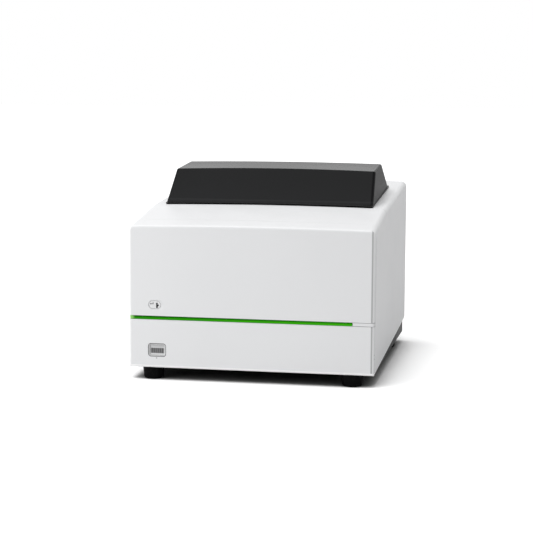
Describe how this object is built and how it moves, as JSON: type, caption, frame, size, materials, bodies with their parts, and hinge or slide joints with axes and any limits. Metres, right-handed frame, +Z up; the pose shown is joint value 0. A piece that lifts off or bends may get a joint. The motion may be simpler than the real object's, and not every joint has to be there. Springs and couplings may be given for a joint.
{
  "type": "microplate reader",
  "caption": "Bench-top microplate reader with a sloped white casing, a dark hinged optics hood, a green front strip, a drop-down plate door and a plate conveyor.",
  "frame": {"origin": "on the bench, midway between the casing's sides and between its front and rear", "axes": "+Z up, +Y from the front to the rear, +X to the right seen from the front"},
  "size_m": [0.505, 0.59, 0.4297],
  "materials": {
    "white_plastic": "satin moulded, very light grey",
    "hood_plastic": "satin charcoal moulding",
    "green_strip": "moulded light guide",
    "tray_paint": "textured dark grey powder coat",
    "rear_paint": "light grey powder coat",
    "foot_rubber": "moulded black rubber",
    "seal_foam": "closed-cell foam",
    "zinc_steel": "zinc-plated sheet",
    "dark_steel": "black painted steel",
    "polished_steel": "ground and polished shaft",
    "frame_aluminium": "milled",
    "carrier_aluminium": "black anodised",
    "slide_aluminium": "clear anodised",
    "lamp_aluminium": "dark anodised, finned",
    "laser_aluminium": "bead blasted",
    "deck_black": "matt black optical finish",
    "detector_grey": "hammered grey paint",
    "module_blue": "blue anodised",
    "filter_glass": "coated interference filter",
    "bronze": "sintered bronze",
    "motor_black": "semi-gloss black",
    "belt_rubber": "reinforced timing belt",
    "circuit_board": "solder-masked laminate",
    "inlet_black": "moulded black",
    "switch_grey": "moulded light grey",
    "rocker_grey": "moulded grey, ribbed",
    "button_plastic": "moulded pale grey"
  },
  "bodies": {
    "chassis": {"base_tray": "tray_paint", "rubber_feet": "foot_rubber", "side_panel_left": "white_plastic", "side_panel_right": "white_plastic", "rear_panel": "rear_paint", "rear_panel_screws": "zinc_steel", "front_panel_upper": "white_plastic", "front_top_cover": "white_plastic", "rear_top_cover": "white_plastic", "bay_seal": "seal_foam", "hood_hinge_brackets": "dark_steel", "strip_trim": "white_plastic", "light_strip": "green_strip", "door_hinge_brackets": "zinc_steel", "door_hinge_pins": "zinc_steel", "power_switch_body": "switch_grey", "button_board": "circuit_board", "frame_plate_left": "frame_aluminium", "frame_plate_right": "frame_aluminium", "front_crossbar": "zinc_steel", "optics_deck": "deck_black", "conveyor_rails": "polished_steel", "rail_supports": "frame_aluminium", "drive_motor": "motor_black", "idler_bracket": "zinc_steel", "drive_belt": "belt_rubber", "objective_barrel": "deck_black", "turret_bearing": "polished_steel", "turret_motor": "motor_black", "excitation_guide": "deck_black", "emission_guide": "deck_black", "flash_lamp_housing": "lamp_aluminium", "detector_housing": "detector_grey", "laser_module": "laser_aluminium", "mains_inlet": "inlet_black", "cooling_fan_frame": "inlet_black", "power_supply": "zinc_steel", "controller_board": "circuit_board"},
    "hood": {"optics_hood": "hood_plastic", "hood_hinge_leaves": "dark_steel", "hood_hinge_pins": "polished_steel"},
    "door": {"plate_door": "white_plastic"},
    "carriage": {"conveyor_carriage": "frame_aluminium", "carriage_bushings": "bronze", "cross_rods": "polished_steel"},
    "carrier": {"plate_carrier": "carrier_aluminium"},
    "rocker": {"power_rocker": "rocker_grey"},
    "button": {"load_button": "button_plastic"},
    "turret": {"mirror_turret": "deck_black", "mirror_module_1": "module_blue", "mirror_module_2": "module_blue", "mirror_module_3": "module_blue", "mirror_module_4": "module_blue"},
    "excitation_slide": {"excitation_filter_slide": "slide_aluminium", "excitation_filters": "filter_glass"},
    "emission_slide": {"emission_filter_slide": "slide_aluminium", "emission_filters": "filter_glass"},
    "fan_rotor": {"cooling_fan_rotor": "inlet_black"},
    "drive_pulley_body": {"drive_pulley": "frame_aluminium"},
    "idler_pulley_body": {"idler_pulley": "frame_aluminium"}
  },
  "joints": [
    {"name": "hood_hinge", "type": "hinge", "parent": "chassis", "child": "hood", "pos_m": [0, 0.195, 0.3763], "axis": [-1, 0, 0], "range_deg": [0, 75]},
    {"name": "carriage_slide", "type": "slide", "parent": "chassis", "child": "carriage", "axis": [0, 1, 0], "range_m": [-0.34, 0]},
    {"name": "door_hinge", "type": "hinge", "parent": "chassis", "child": "door", "pos_m": [0, -0.289, 0.0315], "axis": [1, 0, 0], "range_deg": [0, 90]},
    {"name": "cross_slide", "type": "slide", "parent": "carriage", "child": "carrier", "axis": [1, 0, 0], "range_m": [-0.05, 0.05]},
    {"name": "rocker_hinge", "type": "hinge", "parent": "chassis", "child": "rocker", "pos_m": [-0.1935, -0.285, 0.0613], "axis": [1, 0, 0], "range_deg": [-7, 7]},
    {"name": "button_slide", "type": "slide", "parent": "chassis", "child": "button", "axis": [0, 1, 0], "range_m": [0, 0.002], "stiffness_N_per_m": 300},
    {"name": "turret_spin", "type": "hinge", "parent": "chassis", "child": "turret", "pos_m": [0, -0.003, 0], "axis": [0, 0, 1], "continuous": true},
    {"name": "excitation_slide_travel", "type": "slide", "parent": "chassis", "child": "excitation_slide", "axis": [0, 1, 0], "range_m": [-0.05, 0.05]},
    {"name": "emission_slide_travel", "type": "slide", "parent": "chassis", "child": "emission_slide", "axis": [0, 1, 0], "range_m": [-0.05, 0.05]},
    {"name": "fan_spin", "type": "hinge", "parent": "chassis", "child": "fan_rotor", "pos_m": [0.14, 0, 0.23], "axis": [0, 1, 0], "continuous": true},
    {"name": "drive_pulley_spin", "type": "hinge", "parent": "chassis", "child": "drive_pulley_body", "pos_m": [-0.15, 0.175, 0.05], "axis": [1, 0, 0], "range_deg": [0, 1813]},
    {"name": "idler_pulley_spin", "type": "hinge", "parent": "chassis", "child": "idler_pulley_body", "pos_m": [-0.15, -0.235, 0.05], "axis": [1, 0, 0], "range_deg": [0, 1813]}
  ],
  "couplings": [
    {"joint": "door_hinge", "follows": "carriage_slide", "rad_per_m": -4.619},
    {"joint": "drive_pulley_spin", "follows": "carriage_slide", "rad_per_m": -93.023},
    {"joint": "idler_pulley_spin", "follows": "carriage_slide", "rad_per_m": -93.023}
  ]
}
